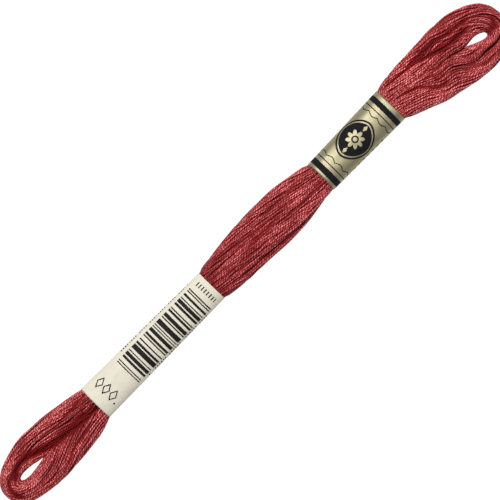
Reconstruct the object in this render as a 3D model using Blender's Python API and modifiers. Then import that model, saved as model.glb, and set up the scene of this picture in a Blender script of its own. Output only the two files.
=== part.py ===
"""Skein of stranded embroidery floss held by two paper bands, lying flat.

One floss is wound many times into a long flat ring.  A long band and a short band squeeze the
ring's two legs together, so the floss pinches under each band, bellies between them and opens
into a loop with a small eye at each end.  Metres, +Z up, +X along the skein towards the short
band, the origin under the middle of the whole on the surface that it lies on.
"""

import math
from collections import namedtuple

import bmesh
import bpy
from mathutils import Vector

MM = 0.001

# The skein lies on z = 0.  Every section below is measured from the bands' common axis.
FIT_GAP = 0.5 * MM          # clearance between the floss and a band
LEG_GAP = 0.3 * MM          # slit left between the ring's two legs
BAND_WALL = 1.0 * MM        # paper bands, made as thick as a sheet solid has to be
LEG_OVERLAP = 0.9 * MM      # how far the right leg's upper side leans over the left leg
PINCH_LEAD = 0.35 * MM      # the floss stays pinched this far past a band's edge
PINCH_RUN = 0.65 * MM       # and swells to its full width over this length
FLAT_CUT = 0.5 * MM         # how much of the floss's rounded underside the surface presses flat
BAND_FLAT_CUT = 1.0 * MM    # and of a band's

# Resolution
PROFILE_POINTS = 30         # points round one leg's section
LEG_STEP = 3.2 * MM         # spacing of the sections along a leg
EDGE_STATIONS = (0.0, 0.35, 0.65, 1.0)  # sections in each swell past a band, as shares of it
EDGE_SPACE = 0.9 * MM       # room left between those and the even ones
CAP_STATIONS = 22           # sections round the end of a loop
BAND_POINTS = 44            # points round a band

# Bundles of floss that show as soft ribs, with valleys cut inwards between them
RIBS_PER_LEG = 7
RIB_DEPTH = 0.50 * MM
RIB_SHARPNESS = 1.5         # higher makes narrower valleys
SLOW_STRAY = (0.36, 3)      # radians that a rib strays round the section, and the waves of that
QUICK_STRAY = (0.19, 8)     # straying in one trip round the ring
SEAM_SMOOTH = 0.25          # share of a leg next to the seam over which the ribs fade in

# Outline and height of the whole skein at places along it, in millimetres.
# left is towards +Y and right towards -Y; seam is where the two legs meet;
# crown is how far the top slopes down from the seam to the side, as a share of the height.
Section = namedtuple("Section", "x left right height seam crown")
SECTIONS = [
    Section(-71.4, 7.65, 7.40, 5.3, 0.05, 0.03),
    Section(-66.0, 7.50, 6.90, 5.5, 0.10, 0.06),
    Section(-59.5, 6.50, 6.15, 5.6, 0.10, 0.09),
    Section(-53.0, 5.55, 5.25, 5.8, 0.20, 0.12),
    Section(-32.8, 5.00, 4.50, 5.6, 0.20, 0.12),
    Section(-12.5, 4.95, 4.35, 5.8, 0.20, 0.12),
    Section(-6.0, 5.65, 4.95, 6.4, 0.30, 0.13),
    Section(2.0, 6.50, 5.30, 7.0, 0.50, 0.15),
    Section(9.0, 6.75, 5.70, 7.1, 0.50, 0.15),
    Section(15.0, 6.35, 5.55, 6.8, 0.40, 0.13),
    Section(20.5, 5.50, 5.15, 6.2, 0.20, 0.12),
    Section(25.3, 4.55, 4.65, 5.8, 0.00, 0.12),
    Section(37.5, 4.80, 4.80, 5.6, 0.00, 0.12),
    Section(49.8, 5.15, 5.10, 5.8, -0.10, 0.11),
    Section(53.0, 5.55, 5.95, 5.9, -0.30, 0.09),
    Section(57.0, 6.10, 7.60, 6.0, -0.80, 0.07),
    Section(63.0, 6.50, 9.40, 5.9, -1.50, 0.06),
    Section(69.0, 6.60, 10.80, 5.7, -2.30, 0.05),
    Section(73.0, 6.45, 11.50, 5.5, -2.90, 0.03),
]

# Each end loop: how far the floss reaches past the last section, how far its tip leans towards
# -Y, and the eye, a teardrop with its point at the last section and this length, width and drift.
Loop = namedtuple("Loop", "reach lean height eye_length eye_width eye_drift")
LOWER_LOOP = Loop(13.4, 0.0, 5.0, 8.0, 1.9, 0.1)
UPPER_LOOP = Loop(11.8, 1.1, 5.2, 6.0, 2.1, -1.6)
LOOP_SQUARENESS = 2.2       # exponent of the loops' rounded outline
EYE_TAPER = 1.3             # how sharply an eye narrows to its point
EYE_SWELL = 0.66            # scales a teardrop of that taper to its stated width

# Exponents of a leg's section: 2 is an ellipse and more is squarer
OUTSIDE_SQUARENESS = 2.3
LEG_SQUARENESS = 5.0        # where the two legs press on each other
TIP_SQUARENESS = 2.4        # at an eye
ROUND_BY = 0.5              # share of the way round to a loop's tip by which that is reached
LEAN_RUN = 9.0              # millimetres over which the legs' overlap fades out before a loop
LEAN_LOST = 0.5             # share of that overlap that a band takes away

# Paper bands, in millimetres: where each starts and ends and its half-widths there.
Band = namedtuple("Band", "name x0 x1 left0 right0 left1 right1 height colour roughness")
BANDS = [
    Band("long_band", -53.0, -12.5, 5.30, 4.60, 4.70, 4.20, 5.6, (0.81, 0.76, 0.63), 0.55),
    Band("short_band", 25.3, 49.8, 4.30, 4.65, 4.95, 4.85, 5.6, (0.60, 0.52, 0.27), 0.35),
]

# Deep valleys between bundles on the upper side: depth and half-width in millimetres, and the
# points that each runs through, as (x, y).
Valley = namedtuple("Valley", "depth width path")
VALLEYS = [
    Valley(1.5, 0.75, [(-53, -0.4), (-57, -0.6), (-62, 0.0), (-67, 0.8), (-71, 1.6), (-76, 2.6), (-79.5, 2.6)]),
    Valley(1.1, 0.60, [(-79.5, 2.6), (-81.8, 1.6), (-82.8, 0.4), (-82.9, -0.9)]),
    Valley(0.7, 0.55, [(-55, 3.7), (-63, 3.3), (-68, 4.0)]),
    Valley(0.6, 0.50, [(-58, -3.0), (-65, -3.9), (-72, -4.6)]),
    Valley(0.8, 0.55, [(-7, 1.2), (0, 2.2), (7, 2.9)]),
    Valley(0.8, 0.55, [(1, 0.2), (7, -0.8), (13, -1.8)]),
    Valley(0.7, 0.50, [(12, 1.8), (19, 0.6), (23, 0.2)]),
    Valley(1.2, 0.70, [(57, 2.6), (62, 3.7), (68.3, 3.5), (73, 3.1), (78.5, 1.2)]),
    Valley(1.4, 0.75, [(60, 1.2), (64, 1.6), (68.4, 0.4), (72, -0.8)]),
    Valley(0.8, 0.55, [(58, -3.4), (64.4, -5.1), (70, -8.0)]),
    Valley(1.2, 0.65, [(79.6, -4.4), (81.8, -5.0), (83.4, -4.2)]),
]

FLOSS_COLOUR = (0.40, 0.025, 0.045)
FLOSS_ROUGHNESS = 0.6

Station = namedtuple("Station", "outer inner height floor crown squareness pinch lean")


def smoothstep(value):
    """0 below 0, 1 above 1 and an even curve between."""
    value = min(1.0, max(0.0, value))
    return value * value * (3.0 - 2.0 * value)


def along(column, x):
    """Value of one column of SECTIONS at x (mm), on a smooth curve through the rows."""
    rows = SECTIONS
    if x <= rows[0].x:
        return getattr(rows[0], column)
    if x >= rows[-1].x:
        return getattr(rows[-1], column)
    last = next(i for i, row in enumerate(rows) if row.x > x)
    before, after = rows[last - 1], rows[last]
    span = after.x - before.x
    share = (x - before.x) / span

    def slope(i):
        low, high = max(i - 1, 0), min(i + 1, len(rows) - 1)
        rise = getattr(rows[high], column) - getattr(rows[low], column)
        return rise / (rows[high].x - rows[low].x) * span

    start, end = getattr(before, column), getattr(after, column)
    square, cube = share ** 2, share ** 3
    return ((2 * cube - 3 * square + 1) * start + (cube - 2 * square + share) * slope(last - 1)
            + (3 * square - 2 * cube) * end + (cube - square) * slope(last))


def pinch(x):
    """1 under a band and just past its edges, falling to 0 where the floss is free; x in mm."""
    held = 0.0
    for band in BANDS:
        past = max(band.x0 - x, x - band.x1) * MM - PINCH_LEAD
        held = max(held, 1.0 - smoothstep(past / PINCH_RUN))
    return held


def band_edge(band, side, x):
    """Half-width of a band on one side at x (mm), straight from end to end."""
    share = min(1.0, max(0.0, (x - band.x0) / (band.x1 - band.x0)))
    start = getattr(band, side + "0")
    return start + (getattr(band, side + "1") - start) * share


def half_width(side, x):
    """Half-width of the floss on one side at x (mm), drawn in where a band holds it."""
    free = along(side, x)
    held = pinch(x)
    if held == 0.0:
        return free * MM
    band = min(BANDS, key=lambda item: abs(x - 0.5 * (item.x0 + item.x1)))
    inside = band_edge(band, side, x) * MM - BAND_WALL - FIT_GAP
    return free * MM * (1.0 - held) + inside * held


def leg_station(x, side):
    """Section of one leg at x (mm); side is 1 for the left leg and -1 for the right one."""
    held = pinch(x)
    outer_y = side * half_width("left" if side > 0 else "right", x)
    inner_y = along("seam", x) * MM * (1.0 - held) + side * LEG_GAP / 2
    lift = (BAND_WALL + FIT_GAP) * held
    held_height = BANDS[0].height * MM - 2 * (BAND_WALL + FIT_GAP)
    height = along("height", x) * MM * (1.0 - held) + held_height * held
    to_loop = min(x - SECTIONS[0].x, SECTIONS[-1].x - x)
    lean = LEG_OVERLAP * smoothstep(to_loop / LEAN_RUN) * (1.0 - LEAN_LOST * held)
    return Station(Vector((x * MM, outer_y)), Vector((x * MM, inner_y)), height, lift,
                   along("crown", x), LEG_SQUARENESS, held, lean)


def power(value, exponent):
    """value to an exponent, keeping its sign."""
    return math.copysign(abs(value) ** exponent, value)


def loop_station(end, loop, direction, turn):
    """Section round an end loop; turn runs from 0 at the left leg to pi at the right leg."""
    left, right = end.left * MM, end.right * MM
    reach_out = power(math.sin(turn), 2.0 / LOOP_SQUARENESS)
    swing = power(math.cos(turn), 2.0 / LOOP_SQUARENESS)
    middle = (left - right) / 2 - loop.lean * MM * math.sin(turn)
    outer = Vector((end.x * MM + direction * loop.reach * MM * reach_out,
                    middle + swing * (left + right) / 2))

    depth = (1.0 - math.cos(2.0 * turn)) / 2
    edge = EYE_SWELL * math.sin(2.0 * turn) * math.sin(turn) ** EYE_TAPER
    sideways = end.seam + loop.eye_drift * depth + loop.eye_width * edge
    inner = Vector((end.x * MM + direction * loop.eye_length * MM * depth,
                    sideways * MM + math.cos(turn) * LEG_GAP / 2))

    near_tip = math.sin(turn)
    height = (end.height * (1.0 - near_tip) + loop.height * near_tip) * MM
    rounding = smoothstep(near_tip / ROUND_BY)
    squareness = LEG_SQUARENESS + (TIP_SQUARENESS - LEG_SQUARENESS) * rounding
    return Station(outer, inner, height, 0.0, end.crown * (1.0 - near_tip), squareness, 0.0, 0.0)


def leg_places():
    """Places along a leg (mm): even steps, with more where a band's edge pinches the floss."""
    first, last = SECTIONS[0].x, SECTIONS[-1].x
    edges = [x for band in BANDS for x in (band.x0, band.x1)]
    past_edge = [(PINCH_LEAD + PINCH_RUN * share) / MM for share in EDGE_STATIONS]
    swells = [band.x0 - past for band in BANDS for past in past_edge]
    swells += [band.x1 + past for band in BANDS for past in past_edge]
    count = round((last - first) * MM / LEG_STEP)
    even = [first + (last - first) * i / count for i in range(count + 1)]
    taken = past_edge[-1] + EDGE_SPACE / MM
    clear = [x for x in even if min(abs(x - edge) for edge in edges) > taken]
    return sorted(clear + swells)


def ring_stations():
    """All sections of the wound ring in order: left leg, upper loop, right leg, lower loop."""
    places = leg_places()
    turns = [math.pi * i / (CAP_STATIONS + 1) for i in range(1, CAP_STATIONS + 1)]
    ring = [leg_station(x, 1) for x in places]
    ring += [loop_station(SECTIONS[-1], UPPER_LOOP, 1, turn) for turn in turns]
    ring += [leg_station(x, -1) for x in reversed(places)]
    ring += [loop_station(SECTIONS[0], LOWER_LOOP, -1, turn) for turn in reversed(turns)]
    return ring


def rib_valley(angle, trip):
    """How far the surface dips between bundles, at an angle round the section and a place
    from 0 to 1 round the ring."""
    stray = 0.0
    for count, (reach, waves) in enumerate((SLOW_STRAY, QUICK_STRAY), start=1):
        stray += reach * math.sin(2 * math.pi * waves * trip + count * angle)
    return RIB_DEPTH * (1.0 - abs(math.sin(RIBS_PER_LEG * (angle + stray) / 2))) ** RIB_SHARPNESS


def distance_to_path(point, path):
    """Shortest distance (mm) from a point to a line through several points."""
    nearest = math.inf
    for start, end in zip(path, path[1:]):
        start, end = Vector(start), Vector(end)
        step = end - start
        share = max(0.0, min(1.0, (point - start).dot(step) / step.length_squared))
        nearest = min(nearest, (start + step * share - point).length)
    return nearest


def deep_valley(point):
    """Depth of the deep valleys at a place seen from above."""
    place = point / MM
    deepest = 0.0
    for valley in VALLEYS:
        off = distance_to_path(place, valley.path) / valley.width
        deepest = max(deepest, valley.depth * MM * math.exp(-off * off))
    return deepest


def section_points(station, trip):
    """Closed loop of points round one leg: rounded outside, squarer where the legs meet and
    pressed flat underneath."""
    points = []
    across = station.outer - station.inner
    top = station.floor + station.height
    bottom = station.floor - FLAT_CUT
    middle, half = (top + bottom) / 2, (top - bottom) / 2
    free = 1.0 - station.pinch
    for i in range(PROFILE_POINTS):
        angle = 2 * math.pi * i / PROFILE_POINTS
        outside = math.cos(angle) > 0.0
        exponent = 2.0 / (OUTSIDE_SQUARENESS if outside else station.squareness)
        reach = 0.5 + 0.5 * power(math.cos(angle), exponent)
        rise = power(math.sin(angle), exponent)
        dip = rib_valley(angle, trip) * free * smoothstep(reach / SEAM_SMOOTH)
        reach -= dip * math.cos(angle) / across.length
        z = middle + half * rise - dip * math.sin(angle)
        place = station.inner + across * reach
        place.y += station.lean * rise * (1.0 - reach)
        if rise > 0.0:
            z -= station.crown * station.height * reach * rise
            z -= deep_valley(place) * rise * free
        points.append(Vector((place.x, place.y, max(z, station.floor))))
    return points


def mesh_object(name, collection, rings, closed):
    """Mesh lofted through rings of equal length, joined end to start when closed."""
    shape = bmesh.new()
    loops = [[shape.verts.new(point) for point in ring] for ring in rings]
    pairs = list(zip(loops, loops[1:]))
    if closed:
        pairs.append((loops[-1], loops[0]))
    for here, there in pairs:
        for i in range(len(here)):
            j = (i + 1) % len(here)
            shape.faces.new((here[i], there[i], there[j], here[j]))
    bmesh.ops.recalc_face_normals(shape, faces=shape.faces)
    mesh = bpy.data.meshes.new(name)
    shape.to_mesh(mesh)
    shape.free()
    mesh.shade_smooth()
    item = bpy.data.objects.new(name, mesh)
    collection.objects.link(item)
    return item


def give_material(item, colour, roughness):
    material = bpy.data.materials.new(item.name)
    material.use_nodes = True
    shader = material.node_tree.nodes["Principled BSDF"]
    shader.inputs["Base Color"].default_value = (*colour, 1.0)
    shader.inputs["Roughness"].default_value = roughness
    shader.inputs["Metallic"].default_value = 0.0
    item.data.materials.append(material)


def make_skein(collection):
    ring = ring_stations()
    middles = [(station.outer + station.inner) / 2 for station in ring]
    steps = [(middles[(i + 1) % len(ring)] - middles[i]).length for i in range(len(ring))]
    whole = sum(steps)
    rings = [section_points(station, sum(steps[:i]) / whole) for i, station in enumerate(ring)]
    skein = mesh_object("floss_skein", collection, rings, closed=True)
    give_material(skein, FLOSS_COLOUR, FLOSS_ROUGHNESS)
    return skein


def band_points(band, x):
    """Closed loop round a band at x (mm): an oval pressed flat on the surface."""
    points = []
    left, right = band_edge(band, "left", x) * MM, band_edge(band, "right", x) * MM
    top, bottom = band.height * MM, -BAND_FLAT_CUT
    middle, half = (top + bottom) / 2, (top - bottom) / 2
    for i in range(BAND_POINTS):
        angle = 2 * math.pi * i / BAND_POINTS
        side = left if math.cos(angle) > 0.0 else right
        exponent = 2.0 / OUTSIDE_SQUARENESS
        z = middle + half * power(math.sin(angle), exponent)
        points.append(Vector((x * MM, side * power(math.cos(angle), exponent), max(z, 0.0))))
    return points


def make_band(band, collection):
    """A paper sleeve: one loop round the skein at each end, thickened inwards."""
    rings = [band_points(band, x) for x in (band.x0, band.x1)]
    sleeve = mesh_object(band.name, collection, rings, closed=False)
    wall = sleeve.modifiers.new("wall", "SOLIDIFY")
    wall.thickness = BAND_WALL
    wall.offset = -1.0
    wall.use_even_offset = True
    give_material(sleeve, band.colour, band.roughness)
    return sleeve


def centre_over_origin(items):
    """Slide all pieces together so that the middle of the whole is over the origin."""
    corners = [vertex.co for item in items for vertex in item.data.vertices]
    middle_x = (min(co.x for co in corners) + max(co.x for co in corners)) / 2
    middle_y = (min(co.y for co in corners) + max(co.y for co in corners)) / 2
    for item in items:
        item.location = (-middle_x, -middle_y, 0.0)


def main():
    for item in list(bpy.data.objects):
        bpy.data.objects.remove(item, do_unlink=True)
    collection = bpy.data.collections.new("floss_skein_with_bands")
    bpy.context.scene.collection.children.link(collection)
    items = [make_skein(collection)]
    items += [make_band(band, collection) for band in BANDS]
    centre_over_origin(items)


main()
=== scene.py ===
"""Skein of stranded embroidery floss in two paper bands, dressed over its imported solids.

Six strands of floss are wound together into a long flat ring, packed turn against turn, and
squeezed by a long cream band and a short gold band of printed paper.  Tables and shapes are in
millimetres, measured from the bands' common axis; meshes are in metres.
"""

import math
from collections import namedtuple

import bpy
import numpy as np
from bpy.props import FloatProperty, FloatVectorProperty, IntProperty, PointerProperty
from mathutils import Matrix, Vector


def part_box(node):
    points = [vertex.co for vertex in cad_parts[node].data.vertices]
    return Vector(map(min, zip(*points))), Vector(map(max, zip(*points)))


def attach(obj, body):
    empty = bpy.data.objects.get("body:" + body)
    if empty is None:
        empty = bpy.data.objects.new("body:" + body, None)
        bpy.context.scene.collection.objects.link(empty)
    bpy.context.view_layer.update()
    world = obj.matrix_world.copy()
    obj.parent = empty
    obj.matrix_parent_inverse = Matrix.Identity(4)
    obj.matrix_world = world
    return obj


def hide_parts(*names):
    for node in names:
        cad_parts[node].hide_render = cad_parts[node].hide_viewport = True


bl_info = {
    "name": "Skein of Embroidery Floss",
    "version": (1, 0, 0),
    "blender": (4, 5, 0),
    "location": "3D View > Sidebar > Floss",
    "description": "Winds a skein of stranded floss and wraps it in two printed paper bands",
    "category": "Add Mesh",
}

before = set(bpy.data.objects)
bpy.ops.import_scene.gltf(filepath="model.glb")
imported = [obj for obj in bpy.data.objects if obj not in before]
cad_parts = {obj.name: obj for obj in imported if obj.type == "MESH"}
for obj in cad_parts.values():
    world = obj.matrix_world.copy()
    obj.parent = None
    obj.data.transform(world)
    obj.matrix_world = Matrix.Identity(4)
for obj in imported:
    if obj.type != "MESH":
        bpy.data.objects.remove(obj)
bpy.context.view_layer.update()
MM = 0.001

# --- Shape of the skein, in millimetres along and across the bands' common axis ---

# left is towards +Y and right towards -Y; seam is where the two legs of the ring meet.
Section = namedtuple("Section", "x left right height seam")
SECTIONS = [Section(*row) for row in (
    (-71.4, 7.65, 7.95, 5.3, 0.05),
    (-66.0, 7.50, 7.15, 5.5, 0.10),
    (-59.5, 6.45, 6.25, 5.6, 0.10),
    (-53.0, 5.50, 5.45, 5.8, 0.20),
    (-32.8, 5.00, 4.50, 5.6, 0.20),
    (-12.5, 4.95, 4.35, 5.8, 0.20),
    (-6.0, 5.65, 5.15, 6.4, 0.30),
    (2.0, 6.45, 5.50, 7.0, 0.50),
    (9.0, 6.60, 5.90, 7.1, 0.50),
    (15.0, 6.30, 5.75, 6.8, 0.40),
    (20.5, 5.40, 5.45, 6.2, 0.20),
    (25.3, 4.55, 4.65, 5.8, 0.00),
    (37.5, 4.80, 4.80, 5.6, 0.00),
    (49.8, 5.15, 5.10, 5.8, -0.10),
    (53.0, 5.50, 6.20, 5.9, -0.30),
    (57.0, 6.25, 7.95, 6.0, -0.80),
    (63.0, 6.95, 9.65, 5.9, -1.50),
    (69.0, 7.10, 11.05, 5.7, -2.30),
    (73.0, 6.95, 11.50, 5.5, -2.90),
)]

# Each end loop: reach past the last section, lean of its tip towards -Y, height at the tip, and
# the eye's length, width and sideways drift.
Loop = namedtuple("Loop", "reach lean height eye_length eye_width eye_drift")
LOWER_LOOP = Loop(13.4, 0.0, 5.0, 8.0, 1.9, 0.1)
UPPER_LOOP = Loop(11.8, 1.1, 5.2, 6.0, 2.1, -1.6)
LOOP_SQUARENESS = 2.2
EYE_TAPER = 1.3
EYE_SWELL = 0.66
SIDE_SQUARENESS = 2.3       # exponent of the skein's rounded sides, where 2 is an ellipse
GROOVE_RUN = 16.0           # the groove between the legs opens over this length before an eye
FLAT_CUT = 0.5              # how much of the rounded underside the surface presses flat
PINCH_RUN = 1.1             # the floss narrows over this length before it enters a band

# Where the bands lie, their half-widths at each end and their height
Band = namedtuple("Band", "x0 x1 left0 right0 left1 right1 height")
LONG_BAND = Band(-53.0, -12.5, 5.30, 4.60, 4.70, 4.20, 5.6)
SHORT_BAND = Band(25.3, 49.8, 4.30, 4.65, 4.95, 4.85, 5.6)
BAND_FLAT_CUT = 1.0         # how much of a band's rounded underside the surface presses flat
PAPER = 0.12                # thickness of the paper
PAPER_SLACK = 0.15          # between the floss and the paper, for the unevenness of both
LAP = 3.0                   # overlap of a band's glued ends, under the skein
LAP_GAP = 0.03              # between the lapped ends
LAP_RUN = 2.5               # length over which the outer end of a band climbs on to the inner
PAPER_STEP = 0.4            # spacing of a band's points along the skein
PAPER_POINTS = 110          # points round a band
OUTLINE_POINTS = 400        # points of the outline that they are spaced on
PAPER_NEAR = 0.05           # the paper's direction is taken this far to both sides
PAPER_WAVES = 0.035         # how far the paper waves over the floss
WAVE_COUNT = 9
WAVE_PACE = 0.9             # spread of the waves' pace, in radians to a millimetre
WAVE_RISE = 1.5             # height from which the paper waves fully

# Valleys between bundles of floss on the upper side, as points (x, y) that each runs through
Valley = namedtuple("Valley", "depth width path")
VALLEYS = [Valley(*row) for row in (
    (2.4, 0.75, [(-53, -0.7), (-58, -0.7), (-62.5, -0.2), (-66, 0.1), (-69, 0.7), (-71.5, 1.9),
                 (-74, 2.8), (-76.5, 3.2), (-78.5, 2.7), (-80, 1.5)]),
    (1.4, 1.1, [(-57, 0.3), (-62, 0.5), (-66, 0.9), (-69, 1.5), (-72, 2.7), (-75.5, 3.7)]),
    (1.4, 0.7, [(-79.5, 2.6), (-81.8, 1.6), (-82.8, 0.4), (-82.9, -1.5), (-82, -3.2)]),
    (0.9, 0.6, [(-53, 3.5), (-61, 3.4), (-64.5, 3.0)]),
    (0.8, 0.6, [(-57, -2.6), (-63, -3.4), (-68, -5.2)]),
    (0.5, 0.5, [(-9, 1.9), (-2, 2.6), (3, 2.4)]),
    (0.6, 0.5, [(-10, -2.4), (-4, -2.2), (0, -2.8)]),
    (0.5, 0.5, [(3, 0.6), (8, 0.4), (12, 0.9)]),
    (0.6, 0.5, [(9, 3.4), (15, 3.1), (20, 2.2)]),
    (0.5, 0.5, [(12, -1.8), (18, -1.5), (24, -0.8)]),
    (0.5, 0.5, [(2, -4.2), (9, -4.4)]),
    (1.6, 0.7, [(60, 3.4), (64.5, 3.8), (67, 3.1), (72, 2.6), (77, 1.6)]),
    (2.0, 0.8, [(63, 2.6), (66, 1.6), (68.3, 0.6), (70.5, 0.3), (75, 0.1)]),
    (1.0, 0.6, [(55, -0.9), (58, -2.0), (60, -4.2), (63, -5.4)]),
    (0.7, 0.65, [(66, -5.6), (69.5, -7.2), (74, -9.4)]),
    (1.5, 0.7, [(79.4, -4.6), (81.4, -4.6), (82.4, -2.8)]),
)]

# Ripples across the laid floss: where each reaches, its length, and how far it sways and lifts
Ripple = namedtuple("Ripple", "x0 x1 y0 y1 length sway lift")
RIPPLES = [
    Ripple(53.0, 78.0, -10.0, -0.4, 11.3, 0.85, 0.40),
    Ripple(58.0, 74.0, 0.4, 6.4, 8.2, 0.45, 0.30),
]
RIPPLE_EDGE = 1.5           # exponent with which a ripple fades in and out
RIPPLE_RISE = 4.0           # height from which the floss lifts with its ripples fully

# Shade painted into the strands' colour: the depths below the skein's rounded surface at
# which it begins and is full, how dark it is there, and the depth of valley that has it in full
SHADE_DEPTHS = (0.75, 2.0)
SHADE = 0.66
VALLEY_SHADE = 1.5
UPPER_SIDE = 0.8            # the valleys' shade begins at this share of the middle height

# How the floss is laid.  A drift is a smooth noise, with its spacing and its size.
Drift = namedtuple("Drift", "spacing size")
STATION_STEP = 1.2          # spacing of the sections where strands are packed
LOOP_STATIONS = 24          # sections round an end loop
CONTOUR_POINTS = 40         # points along the top of a section's outline
LEVELS = (0.0, 0.5, 0.0, 0.0, 0.5, 0.0, 0.95, 0.0)  # how near its middle successive turns lie
LEVEL_RUN = 0.35            # share of a trip round the ring in which a turn changes its level
LEVEL_SHIFT = 0.4           # how far from the end of its turn that may come
SLOW_STRAY = Drift(60.0, 1.0)  # how turns stray from their own place, in places of the packing
QUICK_STRAY = Drift(16.0, 0.25)
DIVES = Drift(38.0, 0.16)   # in level
LAID_INSET = 2.4            # turns are laid this many radii inside the section's outline
# How far the turns have wound round each other at places on a trip round the ring, in whole rounds
BUNDLE_TWIST = [(0.0, 0.0), (0.06, 0.03), (0.17, 0.23), (0.244, 0.27), (0.312, 0.47),
                (0.397, 0.55), (0.465, 0.70), (0.538, 0.76), (0.65, 0.96), (0.768, 1.02),
                (0.824, 0.84), (0.912, 0.84), (0.968, 0.97), (1.0, 1.0)]
SEAM_CROSSING = 1.4         # how far the turns of one leg may cross the seam
STRANDS = 6
STRAND_LAY = 42.0           # length in which the strands of the floss go round each other
LAY_STRAY = Drift(30.0, 0.25)  # in that, in whole rounds
STRAND_SPREAD = 0.85        # of the strands round the middle of the floss, in diameters
STRAND_WANDER = Drift(22.0, 0.35)  # of a strand in the floss, in diameters
SHIMMY = Drift(5.0, 0.03)   # small waves in the laid strands
SINKS = Drift(11.0, 0.22)   # hollows where a strand lies under the surface
DEEPEST_SINK = 0.44         # at most

# How the strands are packed
PACKING_PASSES = 150
PULL = 0.08                 # share of the way to its own place that a strand is drawn at first
SMOOTHING = 0.35            # share of the way that a point goes to the middle of its neighbours
PUSH = 0.35                 # share of an overlap that each strand gives way
OUTWARD = 0.006             # push away from the middle of a section in every pass
NEIGHBOURS = 10             # nearest strands that a strand is kept apart from
NEIGHBOUR_PASSES = 12       # passes before the neighbours are looked up again
VALLEY_PASSES = 10          # passes before the valleys are looked up again
SECTION_BLOCK = 64          # sections whose neighbours are looked up at once
FAR_OFF = 1e3               # where a loop has no leg beside it
FILL = 0.82                 # share of a section that the strands fill
CLOSE_SHARE = 0.97          # how near two strands come, as a share of their diameter
SEED = 11                   # for all random draws

# Surface of a strand
AROUND = 6                  # points round it
STRAND_STEP = 0.8           # spacing of the rings of points along a strand
LUMPS = Drift(3.0, 0.06)    # its uneven thickness, as a share
PLIES = 2
FLAT_ROWS = 96              # rows in the flat layout of a strand
ROW_MARGIN = 0.05           # left free at both sides of a row, as a share of it
CAP_PLACES = (0.3, 0.7)     # of the two caps in a row of their own
CAP_SIZE = 0.4              # radius of a cap there, as a share of the row
STRAND_START = 9000.0       # length of lay between two strands' starts, so that no two look alike
CENTIMETRE = 10.0


def axis_offset():
    """Offset from the bands' common axis to the frame, in millimetres."""
    low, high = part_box("long_band")
    return np.array([low[0] / MM - LONG_BAND.x0, high[1] / MM - LONG_BAND.left0])


def smoothstep(value):
    """Rises smoothly from 0 to 1 as value does."""
    value = np.clip(value, 0.0, 1.0)
    return value * value * (3.0 - 2.0 * value)


def power(value, exponent):
    """value to an exponent, keeping its sign."""
    return np.sign(value) * np.abs(value) ** exponent


def along(name, x):
    """A column of SECTIONS at places x, on a smooth curve through its rows."""
    rows_x = np.array([row.x for row in SECTIONS])
    rows_y = np.array([getattr(row, name) for row in SECTIONS])
    slopes = np.gradient(rows_y, rows_x)
    i = np.clip(np.searchsorted(rows_x, x) - 1, 0, len(rows_x) - 2)
    span = rows_x[i + 1] - rows_x[i]
    share = np.clip((x - rows_x[i]) / span, 0.0, 1.0)
    square, cube = share ** 2, share ** 3
    return ((2 * cube - 3 * square + 1) * rows_y[i] + (cube - 2 * square + share) * slopes[i] * span
            + (3 * square - 2 * cube) * rows_y[i + 1] + (cube - square) * slopes[i + 1] * span)


def spline(a, b, c, d, share):
    """Place at a share of the way from b to c, on a smooth curve that also meets a and d."""
    return b + 0.5 * share * (c - a + share * (2 * a - 5 * b + 4 * c - d
                                               + share * (3 * (b - c) + d - a)))


def drifting(drift, count, step, random):
    """Smooth noise along count places a step apart, with a new random level every spacing."""
    spacing = drift.spacing / step
    knots = random.normal(size=int(count / spacing) + 4)
    place = np.arange(count) / spacing
    i = place.astype(int)
    return drift.size * spline(knots[i], knots[i + 1], knots[i + 2], knots[i + 3], place - i)


def half_widths(band, x):
    """How far a band reaches to the left and to the right at places x."""
    share = np.clip((x - band.x0) / (band.x1 - band.x0), 0.0, 1.0)
    return (band.left0 + share * (band.left1 - band.left0),
            band.right0 + share * (band.right1 - band.right0))


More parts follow.
